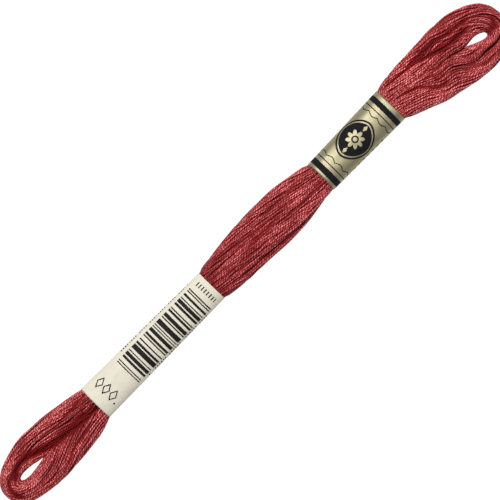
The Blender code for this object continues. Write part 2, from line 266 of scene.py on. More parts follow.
class Ring:
    """Cross-sections of the wound ring, in the order that a turn of floss passes them.

    inner is the point at the seam or the eye, across points outwards, and w is a distance along
    it.  The first section is inside the long band, so that the floss's two ends are hidden.
    """

    def __init__(self):
        first, last = SECTIONS[0].x, SECTIONS[-1].x
        count = round((last - first) / STATION_STEP) + 1
        x = np.linspace(first, last, count)
        turns = math.pi * np.arange(1, LOOP_STATIONS + 1) / (LOOP_STATIONS + 1)
        parts = [self.leg(x, 1), self.loop(SECTIONS[-1], UPPER_LOOP, 1, turns),
                 self.leg(x, -1)[:, ::-1], self.loop(SECTIONS[0], LOWER_LOOP, -1, turns)[:, ::-1]]
        table = np.concatenate(parts, axis=1)
        outer, inner = table[0:2].T, table[2:4].T
        self.count = table.shape[1]
        self.inner = inner
        self.width = np.linalg.norm(outer - inner, axis=1)
        self.across = (outer - inner) / self.width[:, None]
        self.height, self.floor, self.groove, self.middle, self.half, self.side = table[4:]
        start = int(np.argmin(np.abs(x - 0.5 * (LONG_BAND.x0 + LONG_BAND.x1))))
        partner = np.full(self.count, -1)
        right = count + LOOP_STATIONS
        partner[:count] = right + np.arange(count)[::-1]
        partner[right:right + count] = np.arange(count)[::-1]
        self.roll(start, partner)

    @staticmethod
    def leg(x, side):
        """Sections along a leg at places x; side is 1 for the left leg and -1 for the right."""
        left, right, seam = along("left", x), along("right", x), along("seam", x)
        height = along("height", x)
        paper = np.zeros_like(x)
        for band in (LONG_BAND, SHORT_BAND):
            held = smoothstep(np.minimum(x - band.x0, band.x1 - x) / PINCH_RUN + 1.0)
            room = [size - PAPER - PAPER_SLACK for size in (*half_widths(band, x), band.height)]
            left, right, height = (size + held * (limit - size)
                                   for size, limit in zip((left, right, height), room))
            paper = np.maximum(paper, (PAPER + PAPER_SLACK) * held)
        outer = left if side > 0 else -right
        to_loop = np.minimum(x - SECTIONS[0].x, SECTIONS[-1].x - x)
        groove = 1.0 - smoothstep(to_loop / GROOVE_RUN)
        return np.array([x, outer, x, seam, height, paper, groove,
                         (left - right) / 2, (left + right) / 2, np.full_like(x, side)])

    @staticmethod
    def loop(end, loop, direction, turn):
        """Sections round an end loop; turn runs from 0 at the left leg to pi at the right leg."""
        middle = (end.left - end.right) / 2 - loop.lean * np.sin(turn)
        outer_x = end.x + direction * loop.reach * power(np.sin(turn), 2.0 / LOOP_SQUARENESS)
        outer_y = middle + (end.left + end.right) / 2 * power(np.cos(turn), 2.0 / LOOP_SQUARENESS)
        depth = (1.0 - np.cos(2.0 * turn)) / 2
        edge = EYE_SWELL * np.sin(2.0 * turn) * np.abs(np.sin(turn)) ** EYE_TAPER
        inner_x = end.x + direction * loop.eye_length * depth
        inner_y = end.seam + loop.eye_drift * depth + loop.eye_width * edge
        height = end.height + (loop.height - end.height) * np.sin(turn)
        flat = np.zeros_like(turn)
        return np.array([outer_x, outer_y, inner_x, inner_y, height, flat, flat + 1.0,
                         flat, flat + 1.0, flat])

    def roll(self, start, partner):
        """Makes the section at start the first, and keeps each one's partner in the other leg."""
        for name in ("inner", "width", "across", "height", "floor", "groove", "middle", "half",
                     "side"):
            setattr(self, name, np.roll(getattr(self, name), -start, axis=0))
        shifted = np.roll(partner, -start)
        self.partner = np.where(shifted < 0, -1, (shifted - start) % self.count)

    def thickness(self, w, inset):
        """Half-thickness of the ring at distances w, inset from its surface all round."""
        reach = np.clip((w - inset) / (self.width - 2 * inset), 0.0, 1.0)
        round_leg = (1.0 - np.abs(2.0 * reach - 1.0) ** SIDE_SQUARENESS) ** (1 / SIDE_SQUARENESS)
        y = self.inner[:, 1] + self.side * w
        off = np.clip(np.abs(y - self.middle) / (self.half - inset), 0.0, 1.0)
        whole = (1.0 - off ** SIDE_SQUARENESS) ** (1 / SIDE_SQUARENESS)
        share = whole + (round_leg - whole) * self.groove
        return share * ((self.height + FLAT_CUT) / 2 - inset)

    def set_radius(self, turns, largest):
        """Radius of the strands in every section, so that they fill it but are no larger."""
        w = np.linspace(0.0, 1.0, CONTOUR_POINTS)[:, None] * self.width
        thick, middle = self.thickness(w, 0.0), self.middle_height()
        high = middle + thick - np.maximum(middle - thick, self.floor)
        area = high.mean(axis=0) * self.width
        each = FILL * area / (turns * STRANDS * math.sqrt(0.75))
        self.radius = np.minimum(np.sqrt(each) / 2, largest)
        print(f"strands: {2 * self.radius.min():.2f} to {2 * self.radius.max():.2f} mm across")

    def least(self, inset):
        """Least distance from the seam; away from the eyes, a little of each leg crosses it."""
        parted = self.groove ** 4
        return inset * parted - SEAM_CROSSING * (1.0 - parted)

    def middle_height(self):
        """Height of every section where it is widest."""
        return (self.height - FLAT_CUT) / 2

    def contour(self, inset):
        """Closed outline of every section, inset by the floss's radius: distances and heights."""
        swing = np.cos(np.linspace(0.0, math.pi, CONTOUR_POINTS))[:, None]
        least = self.least(inset)
        w = least + (self.width - inset - least) * (1 + swing) / 2
        thick = self.thickness(w, inset)
        middle = self.middle_height()
        top = middle + thick
        bottom = np.maximum(middle - thick, self.floor + inset)
        return np.concatenate([w, w[::-1]]), np.concatenate([top, bottom[::-1]])

    def from_above(self, w):
        """Points seen from above, for distances w."""
        return self.inner + self.across * w[..., None]

    def places(self, w, z):
        """Points for distances w and heights z."""
        return np.concatenate([self.from_above(w), z[..., None]], axis=-1)


def distance_to_path(points, path):
    """Shortest distance from points to a line through several points."""
    nearest = np.full(points.shape[:-1], np.inf)
    path = np.array(path, float)
    for start, end in zip(path, path[1:]):
        step = end - start
        share = np.clip(((points - start) @ step) / (step @ step), 0.0, 1.0)
        off = points - start - share[..., None] * step
        nearest = np.minimum(nearest, np.linalg.norm(off, axis=-1))
    return nearest


def valley_depth(points):
    """Depth of the valleys at places seen from above."""
    deepest = np.zeros(points.shape[:-1])
    for valley in VALLEYS:
        off = distance_to_path(points, valley.path) / valley.width
        deepest = np.maximum(deepest, valley.depth * np.exp(-off * off))
    return deepest


def gradually(trip, values, shifts):
    """A value for each turn, changing smoothly to the next turn's near where the turn ends."""
    level = np.full(len(trip), values[0], float)
    for end, (value, after) in enumerate(zip(values, values[1:]), start=1):
        level += (after - value) * smoothstep((trip - end - shifts[end]) / LEVEL_RUN + 0.5)
    return level


def lengths_along(line):
    """Lengths from a line's first point to each of its points."""
    return np.concatenate([[0.0], np.cumsum(np.linalg.norm(np.diff(line, axis=0), axis=1))])


def laid_turns(ring, turns, random):
    """Distances and heights where the middles of the turns lie.

    The turns lie side by side round the section, some nearer its middle, and each trip round the
    ring ends one place further on.
    """
    total = turns * ring.count
    trip = np.arange(total) / ring.count
    levels = np.array([LEVELS[turn % len(LEVELS)] for turn in range(turns)])
    places = np.empty(turns)
    for level in set(LEVELS):
        same = np.flatnonzero(levels == level)
        places[same] = (np.arange(len(same)) + 0.5) / len(same)
    shifts = random.uniform(-LEVEL_SHIFT, LEVEL_SHIFT, turns + 1)
    outermost = np.count_nonzero(levels == 0.0)
    share = gradually(trip, places, shifts) + np.interp(trip % 1.0, *zip(*BUNDLE_TWIST))
    for stray in (SLOW_STRAY, QUICK_STRAY):
        in_places = stray._replace(size=stray.size / outermost)
        share += drifting(in_places, total, STATION_STEP, random)
    inward = gradually(trip, levels, shifts) + drifting(DIVES, total, STATION_STEP, random)
    share = (share % 1.0).reshape(turns, ring.count)
    inward = np.clip(inward, 0.0, 1.0).reshape(turns, ring.count)
    contour_w, contour_z = ring.contour(LAID_INSET * ring.radius)
    w, z = np.empty_like(share), np.empty_like(share)
    for s in range(ring.count):
        outline = np.stack([contour_w[:, s], contour_z[:, s]], axis=1)
        outline = np.vstack([outline, outline[:1]])
        length = lengths_along(outline)
        w[:, s] = np.interp(share[:, s] * length[-1], length, outline[:, 0])
        z[:, s] = np.interp(share[:, s] * length[-1], length, outline[:, 1])
    w += inward * (ring.width / 2 - w)
    z += inward * (ring.middle_height() - z)
    return w, z


def laid_strands(ring, turns, random):
    """Distances and heights where each strand would lie if nothing else pushed it.

    The strands of a turn go round each other.
    """
    w, z = laid_turns(ring, turns, random)
    total = turns * ring.count
    round_turn = 2 * math.pi * (np.arange(total) * STATION_STEP / STRAND_LAY
                                + drifting(LAY_STRAY, total, STATION_STEP, random))
    strand_w, strand_z = [], []
    for strand in range(STRANDS):
        angle = (round_turn + 2 * math.pi * strand / STRANDS).reshape(turns, ring.count)
        wander = [drifting(STRAND_WANDER, total, STATION_STEP, random).reshape(angle.shape)
                  for _ in range(2)]
        strand_w.append(w + 2 * ring.radius * (STRAND_SPREAD * np.cos(angle) + wander[0]))
        strand_z.append(z + 2 * ring.radius * (STRAND_SPREAD * np.sin(angle) + wander[1]))
    return np.concatenate(strand_w), np.concatenate(strand_z)


def nearest_strands(w, z, all_w, all_z):
    """For every strand of every section, the rows of its nearest others in all_w and all_z."""
    own = np.arange(len(w))
    found = []
    for start in range(0, w.shape[1], SECTION_BLOCK):
        part = slice(start, start + SECTION_BLOCK)
        gap = ((w[:, None, part] - all_w[None, :, part]) ** 2
               + (z[:, None, part] - all_z[None, :, part]) ** 2).astype(np.float32)
        gap[own, own] = np.inf
        found.append(np.argpartition(gap, NEIGHBOURS, axis=1)[:, :NEIGHBOURS])
    return np.concatenate(found, axis=2)


def steps_from(w, z, all_w, all_z, rows):
    """Steps to every strand from each of its neighbours, and their lengths."""
    off_w = w[:, None] - np.take_along_axis(all_w[None], rows, axis=1)
    off_z = z[:, None] - np.take_along_axis(all_z[None], rows, axis=1)
    return off_w, off_z, np.sqrt(off_w ** 2 + off_z ** 2) + 1e-9


def painted_light_at(ring, w, z, all_w, all_z, rows):
    """Light painted on each point round every strand: 1 where it is free, 0 against a neighbour.

    Shade is painted on strands deep in the skein and in its valleys too.
    """
    off_w, off_z, gap = steps_from(w, z, all_w, all_z, rows)
    close = smoothstep(2.0 - gap / (2 * ring.radius))
    contour_w, contour_z = ring.contour(0.0)
    depth = np.full_like(w, np.inf)
    for edge_w, edge_z in zip(contour_w, contour_z):
        depth = np.minimum(depth, np.hypot(edge_w - w, edge_z - z))
    start, full = SHADE_DEPTHS
    valleys = valley_depth(ring.from_above(w)) * (z > UPPER_SIDE * ring.middle_height())
    light = 1.0 - SHADE * np.maximum(smoothstep((depth - start) / (full - start)),
                                     smoothstep(valleys / VALLEY_SHADE))
    found = []
    for angle in 2 * math.pi * np.arange(AROUND) / AROUND:
        facing = -(off_w * math.cos(angle) + off_z * math.sin(angle)) / gap
        found.append(light * np.prod(1.0 - close * np.clip(facing, 0.0, 1.0) ** 2, axis=1))
    return np.stack(found, axis=-1)


def pack_strands(ring, turns, random):
    """Packs all strands into the ring's sections: each is drawn to its own place, kept smooth
    along its length, parted from its neighbours and held inside the skein's outline.

    Returns distances and heights, and the light painted on each point round each strand.
    """
    aim_w, aim_z = laid_strands(ring, turns, random)
    w, z = aim_w.copy(), aim_z.copy()
    legs = np.flatnonzero(ring.partner >= 0)
    partners = ring.partner[legs]
    close = 2 * ring.radius * CLOSE_SHARE
    middle = ring.middle_height()
    lowest = ring.floor + ring.radius
    least = ring.least(ring.radius)
    sinks = np.concatenate([drifting(SINKS, turns * ring.count, STATION_STEP, random)
                            .reshape(turns, -1) for _ in range(STRANDS)])
    sinks = np.clip(sinks, 0.0, DEEPEST_SINK)
    across_w = np.full_like(w, FAR_OFF)
    across_z = np.full_like(z, FAR_OFF)
    for step in range(PACKING_PASSES):
        pull = PULL * (1.0 - step / PACKING_PASSES)
        w += pull * (aim_w - w)
        z += pull * (aim_z - z)
        for values in (w, z):
            line = values.reshape(STRANDS, -1)
            line[:, 1:-1] += SMOOTHING * (0.5 * (line[:, :-2] + line[:, 2:]) - line[:, 1:-1])
        across_w[:, legs] = -w[:, partners]
        across_z[:, legs] = z[:, partners]
        all_w, all_z = np.concatenate([w, across_w]), np.concatenate([z, across_z])
        if step % NEIGHBOUR_PASSES == 0:
            rows = nearest_strands(w, z, all_w, all_z)
        off_w, off_z, gap = steps_from(w, z, all_w, all_z, rows)
        push = PUSH * np.clip(close - gap, 0.0, None) / gap
        w += (push * off_w).sum(axis=1)
        z += (push * off_z).sum(axis=1)
        out_w, out_z = w - ring.width / 2, z - middle
        reach = np.hypot(out_w, out_z) + 1e-6
        w += OUTWARD * out_w / reach
        z += OUTWARD * out_z / reach
        w = np.clip(w, least, ring.width - ring.radius - sinks)
        thick = ring.thickness(w, ring.radius)
        if step % VALLEY_PASSES == 0:
            valleys = valley_depth(ring.from_above(w))
        z = np.clip(z, np.maximum(middle - thick, lowest),
                    np.maximum(middle + thick - valleys - sinks, lowest))
    return w, z, painted_light_at(ring, w, z, all_w, all_z, rows)


def rippled(places):
    """Places with the ripples of the floss in them."""
    x, y, z = np.moveaxis(places, -1, 0)
    sway, lift = np.zeros_like(x), np.zeros_like(x)
    for ripple in RIPPLES:
        here = np.ones_like(x)
        for value, low, high in ((x, ripple.x0, ripple.x1), (y, ripple.y0, ripple.y1)):
            share = np.clip((value - low) / (high - low), 0.0, 1.0)
            here *= np.sin(math.pi * share) ** RIPPLE_EDGE
        turn = 2 * math.pi * (x - ripple.x0) / ripple.length
        sway += ripple.sway * here * np.sin(turn)
        lift += ripple.lift * here * np.cos(turn)
    return np.stack([x, y + sway, z + lift * smoothstep(z / RIPPLE_RISE)], axis=-1)


def curve_through(points, at):
    """Points on a smooth curve through a line of points, at fractional places along it."""
    last = len(points) - 1
    i = np.clip(at.astype(int), 0, last - 1)
    share = (at - i)[:, None]
    return spline(points[np.maximum(i - 1, 0)], points[i], points[i + 1],
                  points[np.minimum(i + 2, last)], share)


def wound_strands(settings):
    """The strands of the whole floss: centre lines and radii in millimetres, and the light
    painted on the points round them."""
    random = np.random.default_rng(SEED)
    ring = Ring()
    ring.set_radius(settings.turns, settings.diameter / MM / 2)
    w, z, painted_lights = pack_strands(ring, settings.turns, random)
    lines = rippled(ring.places(w, z)).reshape(STRANDS, -1, 3)
    painted_lights = painted_lights.reshape(STRANDS, -1, AROUND)
    radius = np.tile(ring.radius, settings.turns)
    order = np.arange(len(radius))
    strands = []
    for number, (line, levels) in enumerate(zip(lines, painted_lights), start=1):
        lengths = lengths_along(line)
        count = int(lengths[-1] / STRAND_STEP)
        at = np.interp(np.linspace(0.0, lengths[-1], count), lengths, order)
        strand = curve_through(line, at)
        for k in range(3):
            strand[:, k] += drifting(SHIMMY, count, STRAND_STEP, random)
        thin = np.interp(at, order, radius)
        strand[:, 2] = np.maximum(strand[:, 2], thin)
        strand[:, :2] += axis_offset()
        # light and shade painted on each point round the strand, along its length
        painted_light = np.stack([np.interp(at, order, level) for level in levels.T], axis=1)
        strands.append((strand, thin, painted_light))
        print(f"strand {number}: {settings.turns} turns, {lengths[-1] * MM:.2f} m")
    return strands


def unit(vectors):
    """Vectors made 1 long."""
    return vectors / np.linalg.norm(vectors, axis=1)[:, None]


def strand_surface(strand, radius, random):
    """Rings of points round a strand's centre line, in millimetres."""
    count = len(strand)
    ahead = unit(np.gradient(strand, axis=0))
    left = unit(np.cross([0.0, 0.0, 1.0], ahead))
    up = np.cross(ahead, left)
    reach = radius * (1.0 + drifting(LUMPS, count, STRAND_STEP, random))
    angle = 2 * math.pi * np.arange(AROUND) / AROUND
    surface = (strand[:, None] + left[:, None] * (reach[:, None] * np.cos(angle))[..., None]
               + up[:, None] * (reach[:, None] * np.sin(angle))[..., None])
    surface[..., 2] = np.maximum(surface[..., 2], 0.0)
    return surface


def add_map(mesh, name, u, v):
    """Map of a mesh, with a place for each corner of its faces."""
    layer = mesh.uv_layers.new(name=name)
    layer.data.foreach_set("uv", np.stack([u, v], axis=-1).astype(np.float32).ravel())


def flat_layout(rings, spokes, count, around):
    """Places that lay a tube's sides out flat in rows, with its two caps in a row of their own."""
    per_row = math.ceil((count - 1) / FLAT_ROWS)
    row = rings[..., :1] // per_row
    u = (rings - row * per_row).reshape(-1) / per_row
    share = ROW_MARGIN + (1.0 - 2 * ROW_MARGIN) * (spokes / around)
    v = (row + share).reshape(-1) / (FLAT_ROWS + 1)
    turn = 2 * math.pi * np.tile(np.arange(around) / around, 2)
    cap_u = np.repeat(CAP_PLACES, around) + CAP_SIZE * np.cos(turn) / (FLAT_ROWS + 1)
    cap_v = 1.0 + (CAP_SIZE * np.sin(turn) - 0.5) / (FLAT_ROWS + 1)
    return np.concatenate([u, cap_u]), np.concatenate([v, cap_v])


def tube_mesh(name, surface, painted_light, start):
    """Closed tube through rings of points.

    Its map of the lay holds a share round the tube and centimetres along it from start; its map
    of painted light holds the light and shade painted on each point; and OFBake lays it out
    flat, for a picture of it.
    """
    count, around, _ = surface.shape
    ring, spoke = np.meshgrid(np.arange(count - 1), np.arange(around), indexing="ij")
    rings = np.stack([ring, ring, ring + 1, ring + 1], axis=-1)
    spokes = np.stack([spoke, spoke + 1, spoke + 1, spoke], axis=-1)
    rim = np.arange(around)
    sides = ring.size
    corners = np.concatenate([(rings * around + spokes % around).reshape(-1), rim[::-1],
                              (count - 1) * around + rim]).astype(np.int32)
    starts = np.concatenate([np.arange(sides) * 4, sides * 4 + np.arange(2) * around])
    mesh = bpy.data.meshes.new(name)
    mesh.vertices.add(count * around)
    mesh.vertices.foreach_set("co", (surface * MM).astype(np.float32).ravel())
    mesh.loops.add(len(corners))
    mesh.loops.foreach_set("vertex_index", corners)
    mesh.polygons.add(len(starts))
    mesh.polygons.foreach_set("loop_start", starts.astype(np.int32))

    u = np.concatenate([spokes.reshape(-1) / around, np.tile(rim / around, 2)])
    ends = np.repeat([start, start + (count - 1) * STRAND_STEP], around)
    length = np.concatenate([rings.reshape(-1) * STRAND_STEP + start, ends])
    add_map(mesh, "lay", u, length / CENTIMETRE)
    add_map(mesh, "OFBake", *flat_layout(rings, spokes, count, around))
    # map of the light and shade painted on each point, which the cotton's colour reads
    painted_lights = painted_light.reshape(-1)[corners]
    add_map(mesh, "painted_light", painted_lights, painted_lights)
    mesh.update(calc_edges=True)
    mesh.validate()
    mesh.shade_smooth()
    return mesh


def place_in_scene(name, data, location=(0.0, 0.0, 0.0)):
    """Object for a mesh, light or lens, with its origin at a location."""
    item = bpy.data.objects.new(name, data)
    item.location = location
    bpy.context.scene.collection.objects.link(item)
    return item


def add_piece(name, mesh, node, material):
    """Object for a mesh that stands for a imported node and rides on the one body."""
    mesh.materials.append(material)
    piece = place_in_scene(name, mesh)
    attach(piece, "root")
    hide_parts(node)
    return piece


# --- Paper bands ---

def on_outline(place, outline, length):
    """Points at places along a closed outline, whose points lie at lengths along it."""
    place = place % length[-1]
    return np.stack([np.interp(place, length, values) for values in outline])


def paper_strip(band, x, left, right):
    """One row of a band's points, their lengths from the top of the band, and its flat width."""
    exponent = 2.0 / SIDE_SQUARENESS
    half, middle = (left + right) / 2, (left - right) / 2
    half_height = (band.height + BAND_FLAT_CUT) / 2
    swing = np.linspace(-0.5 * math.pi, 1.5 * math.pi, OUTLINE_POINTS)
    y = middle + half * power(np.cos(swing), exponent)
    z = band.height - half_height + half_height * power(np.sin(swing), exponent)
    outline = np.stack([y, np.maximum(z, 0.0)])
    length = lengths_along(outline.T)
    strip = np.linspace(0.0, length[-1] + LAP, PAPER_POINTS)
    at = strip % length[-1]
    ahead = (on_outline(at + PAPER_NEAR, outline, length)
             - on_outline(at - PAPER_NEAR, outline, length))
    ahead = ahead / np.linalg.norm(ahead, axis=0)
    under = (PAPER + LAP_GAP) * (1.0 - smoothstep((strip - LAP) / LAP_RUN))
    y_at, z_at = on_outline(at, outline, length)
    points = np.stack([np.full(PAPER_POINTS, x), y_at - ahead[1] * under, z_at + ahead[0] * under],
                      axis=1)
    return points, np.interp(0.5 * math.pi, swing, length) - strip, strip[-1]


def paper_waves(places):
    """Slight waves of the paper over the floss."""
    random = np.random.default_rng(SEED + 2)
    wave = np.zeros(places.shape[:-1])
    for _ in range(WAVE_COUNT):
        phase = random.uniform(0, 6.3)
        wave += np.sin(phase + places @ random.normal(0.0, WAVE_PACE, 2))
    return PAPER_WAVES * (wave - 2.0) / 3.0


def paper_sheet(name, band):
    """A strip of paper wrapped round the skein, with its ends lapped underneath.

    The map called print holds millimetres: from the top round towards the left, and along from
    the band's first edge.  Returns the mesh and the strip's flat size.
    """
    rows = round((band.x1 - band.x0) / PAPER_STEP) + 1
    points = np.empty((rows, PAPER_POINTS, 3))
    places = np.empty((rows, PAPER_POINTS, 2))
    for row, x in enumerate(np.linspace(band.x0, band.x1, rows)):
        points[row], places[row, :, 0], width = paper_strip(band, x, *half_widths(band, x))
        places[row, :, 1] = x - band.x0
    points[..., 2] += paper_waves(places) * smoothstep(points[..., 2] / WAVE_RISE)
    points[..., :2] += axis_offset()
    grid = np.arange(rows * PAPER_POINTS).reshape(rows, PAPER_POINTS)
    faces = np.stack([grid[:-1, :-1], grid[:-1, 1:], grid[1:, 1:], grid[1:, :-1]], axis=-1)
    mesh = bpy.data.meshes.new(name)
    mesh.from_pydata((points * MM).reshape(-1, 3).tolist(), [], faces.reshape(-1, 4).tolist())
    corners = np.empty(len(mesh.loops), np.int32)
    mesh.loops.foreach_get("vertex_index", corners)
    add_map(mesh, "print", *places.reshape(-1, 2)[corners].T)
    mesh.shade_smooth()
    return mesh, (width * MM, (band.x1 - band.x0) * MM)


def add_band(name, band, node, material):
    """Paper band as a sheet held taut round the floss."""
    mesh, flat = paper_sheet(name, band)
    piece = add_piece(name, mesh, node, material)
    body = piece.modifiers.new("paper thickness", "SOLIDIFY")
    body.thickness = PAPER * MM
    body.offset = -1.0
    print(f"{name}: cut to {flat[0] / MM:.1f} by {flat[1] / MM:.1f} mm")


# --- Node building ---

RAMP_STOPS = 32             # the most that a colour ramp holds


def colour(value):
    """A colour with full cover."""
    return (*value, 1.0)


class Shading:
    """A material's node tree, with short calls for the nodes that patterns are drawn with.

    A mask is 1 inside a shape and 0 outside it.
    """

    def __init__(self, name):
        self.material = bpy.data.materials.new(name)
        self.material.use_nodes = True
        self.tree = self.material.node_tree
        self.inputs = self.tree.nodes["Principled BSDF"].inputs

    def node(self, kind, *values, **settings):
        """A node with settings, whose first inputs are fed with values."""
        node = self.tree.nodes.new(kind)
        for key, value in settings.items():
            setattr(node, key, value)
        for socket, value in zip(node.inputs, values):
            self.feed(socket, value)
        return node

    def feed(self, socket, value):
        """Links a socket to another node's output, or sets it to a value."""
        if isinstance(value, bpy.types.NodeSocket):
            self.tree.links.new(value, socket)
        else:
            socket.default_value = value

    def feed_named(self, node_inputs, **values):
        """Feeds inputs by their names, where a space is written as an underscore."""
        for name, value in values.items():
            self.feed(node_inputs[name.replace("_", " ")], value)

    def maths(self, operation, *values):
        return self.node("ShaderNodeMath", *values, operation=operation).outputs[0]

    def plus(self, a, b):
        return self.maths("ADD", a, b)

    def minus(self, a, b):
        return self.maths("SUBTRACT", a, b)

    def over(self, a, b):
        return self.maths("DIVIDE", a, b)

    def times_plus(self, a, b, c):
        """a times b, plus c."""
        return self.maths("MULTIPLY_ADD", a, b, c)

    def folded(self, operation, values):
        """All values put together, two at a time."""
        whole, *others = values
        for value in others:
            whole = self.maths(operation, whole, value)
        return whole

    def times(self, *values):
        """Product of values; for masks, the shape that lies in all of them."""
        return self.folded("MULTIPLY", values)

    def most(self, *values):
        """Greatest of values; for masks, the shape that lies in any of them."""
        return self.folded("MAXIMUM", values)

    def below(self, value, limit):
        """Mask of the places where value is less than limit."""
        return self.maths("LESS_THAN", value, limit)

    def within(self, value, middle, reach):
        """Mask of the places where value is nearer to middle than reach."""
        return self.maths("COMPARE", value, middle, reach)

    def offset(self, value, middle):
        """How far value is from middle."""
        return self.maths("ABSOLUTE", self.minus(value, middle))

    def repeated(self, value, period):
        """Rises from 0 to 1 over each period of value."""
        return self.maths("FRACT", self.over(value, period))

    def dashes(self, value, period, share):
        """Mask of the first share of each period."""
        return self.below(self.repeated(value, period), share)

    def lozenge(self, u, v, middle, reach, exponent=1.0):
        """Distance from a middle that is 1 all round a diamond, or an oval for exponent 2."""
        parts = [self.maths("POWER", self.over(self.offset(value, centre), size), exponent)
                 for value, centre, size in zip((u, v), middle, reach)]
        return self.plus(*parts)

    def ranged(self, value, low, high, new_low, new_high):
        """A value between low and high, moved to lie between two new ones."""
        return self.node("ShaderNodeMapRange", value, low, high, new_low, new_high).outputs[0]

    def blend(self, share, a, b):
        """Colour between a, for share 0, and b, for share 1."""
        node = self.node("ShaderNodeMix", data_type="RGBA")
        self.feed_named(node.inputs, Factor=share, A=a, B=b)
        return node.outputs["Result"]

    def map_place(self, name):
        """The two parts of a map's coordinates."""
        return self.parts(self.node("ShaderNodeUVMap", uv_map=name).outputs[0])[:2]

    def parts(self, vector):
        return self.node("ShaderNodeSeparateXYZ", vector).outputs

    def joined(self, x, y, z=0.0):
        return self.node("ShaderNodeCombineXYZ", x, y, z).outputs[0]

    def noise(self, vector, scale, detail=2.0, rough=0.5):
        node = self.node("ShaderNodeTexNoise", vector)
        self.feed_named(node.inputs, Scale=scale, Detail=detail, Roughness=rough)
        return node.outputs[0]

    def bump(self, height, distance, strength, under=None):
        """Surface direction for a height, over another bump if there is one."""
        node = self.node("ShaderNodeBump")
        self.feed_named(node.inputs, Strength=strength, Distance=distance, Height=height)
        if under is not None:
            self.feed(node.inputs["Normal"], under)
        return node.outputs[0]

    def bars(self, value, widths, start):
        """Mask of dark bars, whose widths and gaps take turns from start on, on banded ramps."""
        edges = start + np.concatenate([[0.0], np.cumsum(widths)])
        masks = []
        for first in range(0, len(widths), RAMP_STOPS - 2):
            part = edges[first:first + RAMP_STOPS - 1]
            ramp = self.node("ShaderNodeValToRGB")
            ramp.color_ramp.interpolation = "CONSTANT"
            stops = ramp.color_ramp.elements
            low, span = part[0] - 1.0, part[-1] - part[0] + 2.0
            stops[0].color = colour((0.0, 0.0, 0.0))
            stops[1].position = (part[0] - low) / span
            stops[1].color = colour((1.0, 1.0, 1.0))
            for number, edge in enumerate(part[1:], start=1):
                shade = 0.0 if number % 2 or number == len(part) - 1 else 1.0
                stops.new((edge - low) / span).color = colour((shade, shade, shade))
            self.feed(ramp.inputs[0], self.ranged(value, low, low + span, 0.0, 1.0))
            masks.append(ramp.outputs[0])
        return self.most(*masks)

    def profile(self, value, rows):
        """Level that follows rows of places and levels by straight lines, on a ramp."""
        first, last = rows[0][0], rows[-1][0]
        ramp = self.node("ShaderNodeValToRGB", self.ranged(value, first, last, 0.0, 1.0))
        stops = ramp.color_ramp.elements
        for place, _ in rows[1:-1]:
            stops.new((place - first) / (last - first))
        for stop, (_, level) in zip(stops, rows):
            stop.color = colour((level, level, level))
        return ramp.outputs[0]


# --- Print on the paper ---

# In millimetres: u is across a band from the middle of its top, and v along it from its first
# edge.  What goes ACROSS or ALONG has a middle and a reach to both sides.

# Widths of the long band's bars and gaps by turns, in steps of BAR_STEP; they spell nothing
BAR_WIDTHS = [1, 1, 1, 3, 2, 1, 3, 1, 1, 2, 4, 1, 2, 2, 1, 3, 1, 1, 2, 2, 3, 1, 1, 1,
              1, 1, 4, 2, 1, 1, 3, 2, 2, 1, 1, 3, 2, 1, 3, 1, 1, 2, 2, 2, 1, 1, 1]
BAR_STEP = 0.316
BARS_START = 11.0
BARS_ACROSS = (-0.4, 4.0)
DIAMONDS = [(2.8, 4.5), (0.5, 4.5), (-1.8, 4.5)]
DIAMOND_SIZE = (1.0, 1.7)
DIAMOND_LINE = (0.86, 0.17)     # of a diamond's size
DOT, DOT_SIZE = (-3.5, 3.2), (0.28, 0.28)
TICKS_ACROSS, TICKS_ALONG = (0.0, 3.35), (38.4, 0.6)
TICKS = (0.86, 0.4)             # spacing, and the share of it that is inked

# Lines of fine dashes that break into words: place across, middle and reach along, and the
# spacing of the words
FINE_PRINT = [(5.25, 24.7, 12.0, 3.3), (6.9, 6.5, 5.0, 2.6), (-5.1, 24.4, 10.2, 5.3),
              (-7.4, 24.5, 12.8, 4.1), (9.3, 20.0, 15.0, 3.7), (10.4, 18.0, 13.0, 4.3),
              (11.5, 19.0, 14.0, 2.9)]
DASHES = (0.71, 0.45)           # spacing, and the share of it that is inked
WORD_SHARE = 0.8                # share of its spacing that a word takes
DASH_REACH = 0.42               # across a line

# Short band: stripes and fine lines along it, and the lines that scallops stand on, with the
# scallops' height and side
STRIPES = [(1.62, 0.80), (22.5, 0.72), (3.5, 0.13), (20.7, 0.13)]
SCALLOPS = [(4.6, 0.6), (19.7, -0.6)]
SCALLOP_PACE = 1.1              # in radians to a millimetre
SCALLOP_LINE = 0.13
CARTOUCHE, CARTOUCHE_SIZE = (0.4, 12.25), (4.9, 5.5)
CARTOUCHE_SQUARENESS = 1.7
GILT_LINE = (0.80, 0.05)        # of the cartouche's size
PETALS = 8
PETAL_REACH = (1.25, 1.15)      # of the rosette between the petals, and how much further at them
ROSETTE_HOLE = 0.95
ROSETTE_MIDDLE = 0.55
BUD_OFFSET, BUD_SIZE = 3.6, (0.5, 0.9)
SIDE_ROWS = (6.3, -5.6)         # rows of small diamonds beside the cartouche
SIDE_ROW_STEP = 1.6
SIDE_ROW_ALONG = (12.25, 5.7)
SIDE_DIAMOND_SIZE = (0.55, 0.32)


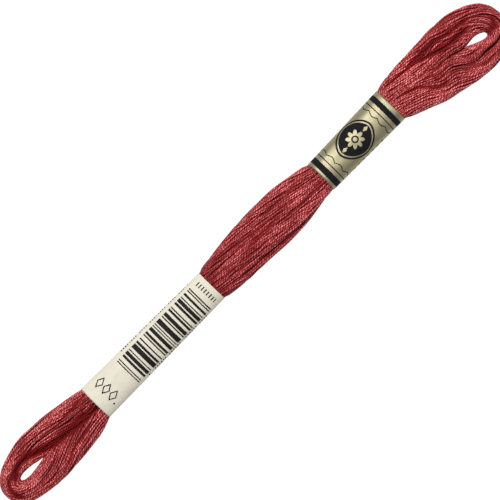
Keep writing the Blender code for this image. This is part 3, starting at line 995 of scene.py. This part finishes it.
def long_band_ink(paper, u, v):
    """Bars, a row of open diamonds with a dot, a row of ticks, and lines of fine dashes."""
    bars = paper.bars(v, np.array(BAR_WIDTHS) * BAR_STEP, BARS_START)
    masks = [paper.times(bars, paper.within(u, *BARS_ACROSS))]
    masks += [paper.within(paper.lozenge(u, v, place, DIAMOND_SIZE), *DIAMOND_LINE)
              for place in DIAMONDS]
    masks.append(paper.below(paper.lozenge(u, v, DOT, DOT_SIZE, 2.0), 1.0))
    masks.append(paper.times(paper.within(v, *TICKS_ALONG), paper.within(u, *TICKS_ACROSS),
                             paper.dashes(u, *TICKS)))
    for across, middle, reach, word in FINE_PRINT:
        masks.append(paper.times(paper.within(u, across, DASH_REACH),
                                 paper.within(v, middle, reach), paper.dashes(v, *DASHES),
                                 paper.dashes(v, word, WORD_SHARE)))
    return paper.most(*masks)


def rosette(paper, u, v):
    """Petals round an open middle with a dot in it."""
    across, along_it = (paper.minus(value, middle) for value, middle in zip((u, v), CARTOUCHE))
    reach = paper.maths("SQRT", paper.plus(paper.times(across, across),
                                           paper.times(along_it, along_it)))
    turn = paper.maths("ARCTAN2", across, along_it)
    petal = paper.maths("ABSOLUTE", paper.maths("COSINE", paper.times(turn, PETALS / 2)))
    between, more = PETAL_REACH
    petals = paper.times(paper.below(reach, paper.times_plus(petal, more, between)),
                         paper.maths("GREATER_THAN", reach, ROSETTE_HOLE))
    return paper.most(petals, paper.below(reach, ROSETTE_MIDDLE))


def short_band_ink(paper, u, v):
    """End stripes, fine lines and scallops, and a dark cartouche with a petalled rosette."""
    masks = [paper.within(v, *stripe) for stripe in STRIPES]
    for base, height in SCALLOPS:
        scallop = paper.maths("ABSOLUTE", paper.maths("SINE", paper.times(u, SCALLOP_PACE)))
        edge = paper.minus(v, paper.times(scallop, height))
        masks.append(paper.within(edge, base, SCALLOP_LINE))
    cartouche = paper.lozenge(u, v, CARTOUCHE, CARTOUCHE_SIZE, CARTOUCHE_SQUARENESS)
    buds = [paper.below(paper.lozenge(u, v, (CARTOUCHE[0], CARTOUCHE[1] + off), BUD_SIZE), 1.0)
            for off in (-BUD_OFFSET, BUD_OFFSET)]
    gilt = paper.most(paper.within(cartouche, *GILT_LINE), rosette(paper, u, v), *buds)
    masks.append(paper.times(paper.below(cartouche, 1.0), paper.minus(1.0, gilt)))
    for across in SIDE_ROWS:
        place = paper.minus(paper.repeated(v, SIDE_ROW_STEP), 0.5)
        diamond = paper.lozenge(u, place, (across, 0.0), SIDE_DIAMOND_SIZE)
        masks.append(paper.times(paper.below(diamond, 1.0), paper.within(v, *SIDE_ROW_ALONG)))
    return paper.most(*masks)


# --- Materials ---

FIBRE_COLOUR = (0.35, 0.31, 0.22)
CLOUD_SHADE = 0.93          # of the paper's ground where it is darkest

FIBRE_SLANT = 1.6           # how far the fibres lean round a strand, in turns to a centimetre
# Painted light and shade of the bundles, and painted lustre along the skein, in the cotton's colour
LIGHT_PATCHES = (110.0, 330.0, 330.0)  # how often the lustre of the bundles changes, to a metre
# Painted lustre along the skein, brightening the cotton's colour and glints: places in
# millimetres and levels, where 0.5 is plain
PAINTED_LUSTRE = ((-85.0, 0.50), (-60.0, 0.50), (-12.0, 0.12), (4.0, 0.30), (14.0, 0.68), (24.0, 0.90),
          (50.0, 1.00), (58.0, 0.98), (64.0, 0.52), (72.0, 0.42), (85.0, 0.46))


def paper_material(name, ink, ground, ink_colour, metal, roughness):
    """Smooth paper with a faint fibre, printed all over with a ground and a matt ink."""
    paper = Shading(name)
    u, v = paper.map_place("print")
    place = paper.joined(u, v)
    fibre = paper.noise(place, 5.0, 4.0, 0.6)
    cloud = paper.noise(place, 0.35)
    mask = ink(paper, u, v)
    tone = paper.blend(paper.ranged(cloud, 0.3, 0.7, 0.0, 1.0), colour(ground),
                       colour(CLOUD_SHADE * np.array(ground)))
    tone = paper.blend(paper.ranged(fibre, 0.35, 0.75, 0.0, 0.10), tone, colour(FIBRE_COLOUR))
    rough = paper.ranged(fibre, 0.3, 0.7, roughness - 0.06, roughness + 0.08)
    paper.feed_named(paper.inputs, Base_Color=paper.blend(mask, tone, colour(ink_colour)),
                     Metallic=paper.times(paper.minus(1.0, mask), metal),
                     Roughness=paper.times_plus(mask, 0.2, rough),
                     Specular_IOR_Level=0.15, Normal=paper.bump(fibre, 0.02 * MM, 0.5))
    return paper.material


def floss_material(settings):
    """Satiny cotton, made of two plies with fine fibres along them.

    Glints of raised fibres and the bundles' light and shade are painted into the colour, the dye
    drifts along each strand, and the shade between plies and strands is painted in too.
    """
    cotton = Shading("crimson_cotton")
    across, length = cotton.map_place("lay")
    # light and shade painted on each point round the strands
    painted_light, _ = cotton.map_place("painted_light")

    twist = CENTIMETRE * PLIES / (settings.pitch / MM)
    turned = cotton.times_plus(length, twist, cotton.times(across, float(PLIES)))
    off = cotton.offset(cotton.maths("FRACT", turned), 0.5)
    # painted shade in the creases between the plies
    crease = cotton.ranged(off, 0.25, 0.5, 0.0, 1.0)
    lean = cotton.times_plus(length, FIBRE_SLANT, across)
    fibre = cotton.noise(cotton.joined(cotton.times(lean, 24.0), cotton.times(length, 10.0)),
                         1.0, 3.0, 0.6)
    glint = cotton.noise(cotton.joined(cotton.times(lean, 8.0), cotton.times(length, 15.0), 1.3),
                         1.0, 1.0)
    streak = cotton.noise(cotton.joined(cotton.times(across, 0.5), cotton.times(length, 1.2), 3.7),
                          1.0, 1.0)

    # Painted light and shade of the bundles, with painted lustre along the skein
    where = cotton.node("ShaderNodeTexCoord").outputs["Object"]
    spread = cotton.node("ShaderNodeVectorMath", where, LIGHT_PATCHES, operation="MULTIPLY").outputs[0]
    light_patch = cotton.ranged(cotton.noise(spread, 1.0, 1.0), 0.36, 0.64, -0.5, 0.5)
    light_patch = cotton.plus(light_patch, cotton.profile(cotton.over(cotton.parts(where)[0], MM), PAINTED_LUSTRE))
    # The dye's drift along each strand, with the painted light and shade of the bundles
    drift = cotton.times_plus(cotton.ranged(streak, 0.36, 0.64, 0.0, 1.0), 0.5,
                              cotton.times(light_patch, 0.5))
    body = cotton.blend(drift, colour(settings.deep_dye_and_shade_colour), colour(settings.main_colour))

    # Painted glints, where raised fibres on the crest of a ply catch the light
    painted_glint = cotton.times(cotton.ranged(glint, 0.42, 0.56, 0.1, 1.0),
                          cotton.ranged(off, 0.20, 0.38, 1.0, 0.1),
                          cotton.ranged(streak, 0.36, 0.60, 0.6, 1.0),
                          cotton.times_plus(light_patch, 0.80, 0.45),
                          cotton.ranged(painted_light, 0.35, 0.8, 0.0, 1.0))
    lit = cotton.blend(painted_glint, body, colour(settings.painted_glint_colour))
    # Painted shade: in the ply creases, against neighbouring strands, deep in the skein and where
    # glints are dim
    painted_shade = cotton.most(cotton.times(crease, 0.4), cotton.ranged(painted_light, 0.0, 0.65, 0.9, 0.0),
                         cotton.ranged(glint, 0.42, 0.34, 0.0, 0.3))
    plies = cotton.bump(cotton.times(cotton.times(off, off), -4.0), 0.12 * MM, 1.0)
    cotton.feed_named(cotton.inputs,
                      Base_Color=cotton.blend(painted_shade, lit, colour(settings.painted_shade_colour)),
                      Roughness=cotton.ranged(glint, 0.35, 0.65, 0.6, 0.36),
                      Sheen_Weight=0.03, Sheen_Roughness=0.35, Sheen_Tint=colour((1.0, 0.62, 0.66)),
                      Specular_IOR_Level=0.15, Normal=cotton.bump(fibre, 0.04 * MM, 0.8, plies))
    return cotton.material


# --- Settings ---

class FlossSettings(bpy.types.PropertyGroup):
    diameter: FloatProperty(name="Strand diameter", description="Greatest diameter of a strand",
                            default=0.60 * MM, unit="LENGTH")
    turns: IntProperty(name="Turns", description="Turns of floss in the skein", default=24)
    pitch: FloatProperty(name="Twist", description="Length in which a strand's plies go round once",
                         default=1.56 * MM, unit="LENGTH")
    main_colour: FloatVectorProperty(name="Main colour", description="Colour of the cotton",
                                     subtype="COLOR", default=(0.38, 0.008, 0.010))
    # Colour of the darker dye and of the painted shade on the bundles
    deep_dye_and_shade_colour: FloatVectorProperty(name="Deep colour", description="Darker drift of the dye",
                                     subtype="COLOR", default=(0.20, 0.004, 0.006))
    # Colour of the painted glints on the raised fibres
    painted_glint_colour: FloatVectorProperty(name="Fibre colour", description="Colour of raised fibres",
                                       subtype="COLOR", default=(1.0, 0.305, 0.31))
    # Colour of the painted shade in the creases between plies and between strands
    painted_shade_colour: FloatVectorProperty(name="Crease colour", description="Colour between plies",
                                       subtype="COLOR", default=(0.100, 0.0015, 0.0030))


class BandSettings(bpy.types.PropertyGroup):
    cream: FloatVectorProperty(name="Cream", description="Ground of the long band",
                               subtype="COLOR", default=(0.66, 0.625, 0.515))
    black: FloatVectorProperty(name="Black", description="Ink of the long band",
                               subtype="COLOR", default=(0.010, 0.009, 0.008))
    gold: FloatVectorProperty(name="Gold", description="Ground of the short band",
                              subtype="COLOR", default=(0.33, 0.295, 0.19))
    navy: FloatVectorProperty(name="Navy", description="Ink of the short band",
                              subtype="COLOR", default=(0.005, 0.005, 0.007))


class StageSettings(bpy.types.PropertyGroup):
    lens: FloatProperty(name="Lens", description="Focal length in millimetres", default=200.0)
    view_width: FloatProperty(name="View width", description="Width that the camera takes in",
                              default=122.6 * MM, unit="LENGTH")
    heading: FloatProperty(name="Heading", description="Turn of the skein in the picture",
                           default=math.radians(45.44), subtype="ANGLE")


# --- Stage, in metres ---

FLOOR_HALF = 3.0
FLOOR_DROP = 0.05 * MM      # below the skein
LOOK_AT = (0.29 * MM, -0.34 * MM)  # from the middle of the bands' axis
SENSOR = 36.0               # width, in millimetres
TOP = 3.0 * MM              # the height that the view's width is measured at
LIGHTS = [  # name, size, power and place
    ("key_light", 0.25, 6.8, (0.13, 0.31, 0.75)),
    ("fill_light", 0.8, 2.0, (0.35, -0.35, 1.0)),
]
SKY = 0.25                  # strength of the even light from all round


def place_floor():
    """Wide pale floor that glows a little, so that it stays white."""
    mesh = bpy.data.meshes.new("floor")
    corners = [(-1, -1), (1, -1), (1, 1), (-1, 1)]
    mesh.from_pydata([(FLOOR_HALF * x, FLOOR_HALF * y, 0) for x, y in corners], [], [(0, 1, 2, 3)])
    floor = place_in_scene("floor", mesh, (0.0, 0.0, -FLOOR_DROP))
    paint = Shading("pale_floor")
    paint.feed_named(paint.inputs, Base_Color=colour((0.12, 0.12, 0.12)), Roughness=0.9,
                     Emission_Color=colour((1.0, 1.0, 1.0)), Emission_Strength=1.0)
    mesh.materials.append(paint.material)


def place_camera(settings):
    """Camera straight above the skein, which lies aslant in the picture."""
    lens = bpy.data.cameras.new("camera")
    lens.lens = settings.lens
    lens.sensor_width = SENSOR
    lens.clip_start = 0.01
    lens.clip_end = 20.0
    target = axis_offset() * MM + LOOK_AT
    distance = settings.view_width * lens.lens / SENSOR
    camera = place_in_scene("camera", lens, (*target, distance + TOP))
    camera.rotation_euler = (0.0, 0.0, -settings.heading)
    bpy.context.scene.camera = camera


def place_light(name, size, power, place):
    """Square soft light that faces the skein."""
    light = bpy.data.lights.new(name, "AREA")
    light.shape = "SQUARE"
    light.size = size
    light.energy = power
    item = place_in_scene(name, light, place)
    item.rotation_euler = (-item.location).to_track_quat("-Z", "Y").to_euler()


def set_sky():
    """Even white light from all round."""
    world = bpy.data.worlds.new("soft_sky")
    world.use_nodes = True
    background = world.node_tree.nodes["Background"].inputs
    background["Color"].default_value = colour((1.0, 1.0, 1.0))
    background["Strength"].default_value = SKY
    bpy.context.scene.world = world


# --- Operators ---

class MakeFloss(bpy.types.Operator):
    """Wind the six strands of floss into their ring"""
    bl_idname = "skein.make_floss"
    bl_label = "Wind Floss"

    def execute(self, context):
        settings = context.scene.skein_floss
        random = np.random.default_rng(SEED + 1)
        material = floss_material(settings)
        for number, (strand, radius, painted_light) in enumerate(wound_strands(settings), start=1):
            name = f"floss_strand_{number}"
            surface = strand_surface(strand, radius, random)
            mesh = tube_mesh(name, surface, painted_light, number * STRAND_START)
            add_piece(name, mesh, "floss_skein", material)
        return {"FINISHED"}


class MakeBands(bpy.types.Operator):
    """Wrap the two printed paper bands round the skein"""
    bl_idname = "skein.make_bands"
    bl_label = "Wrap Bands"

    def execute(self, context):
        settings = context.scene.skein_bands
        cream = paper_material("cream_coated_paper", long_band_ink, settings.cream,
                               settings.black, metal=0.0, roughness=0.5)
        gold = paper_material("gold_printed_paper", short_band_ink, settings.gold,
                              settings.navy, metal=0.9, roughness=0.55)
        add_band("long_paper_band", LONG_BAND, "long_band", cream)
        add_band("short_paper_band", SHORT_BAND, "short_band", gold)
        return {"FINISHED"}


class SetStage(bpy.types.Operator):
    """Lay a pale floor under the skein and set soft lights and the camera above it"""
    bl_idname = "skein.set_stage"
    bl_label = "Set Stage"

    def execute(self, context):
        place_floor()
        place_camera(context.scene.skein_stage)
        for light in LIGHTS:
            place_light(*light)
        set_sky()
        context.scene.view_settings.view_transform = "Standard"
        return {"FINISHED"}


class SkeinPanel(bpy.types.Panel):
    """Sizes and colours of the skein and its bands"""
    bl_idname = "VIEW3D_PT_skein"
    bl_label = "Skein of Floss"
    bl_space_type = "VIEW_3D"
    bl_region_type = "UI"
    bl_category = "Floss"

    def draw(self, context):
        for settings, operator in ((context.scene.skein_floss, MakeFloss),
                                   (context.scene.skein_bands, MakeBands),
                                   (context.scene.skein_stage, SetStage)):
            box = self.layout.box()
            for name in settings.__annotations__:
                box.prop(settings, name)
            box.operator(operator.bl_idname)


CLASSES = (FlossSettings, BandSettings, StageSettings, MakeFloss, MakeBands, SetStage, SkeinPanel)


def register():
    for item in CLASSES:
        bpy.utils.register_class(item)
    bpy.types.Scene.skein_floss = PointerProperty(type=FlossSettings)
    bpy.types.Scene.skein_bands = PointerProperty(type=BandSettings)
    bpy.types.Scene.skein_stage = PointerProperty(type=StageSettings)


def unregister():
    del bpy.types.Scene.skein_stage
    del bpy.types.Scene.skein_bands
    del bpy.types.Scene.skein_floss
    for item in reversed(CLASSES):
        bpy.utils.unregister_class(item)


def main():
    register()
    bpy.ops.skein.make_floss()
    bpy.ops.skein.make_bands()
    bpy.ops.skein.set_stage()


if __name__ == "__main__":
    main()
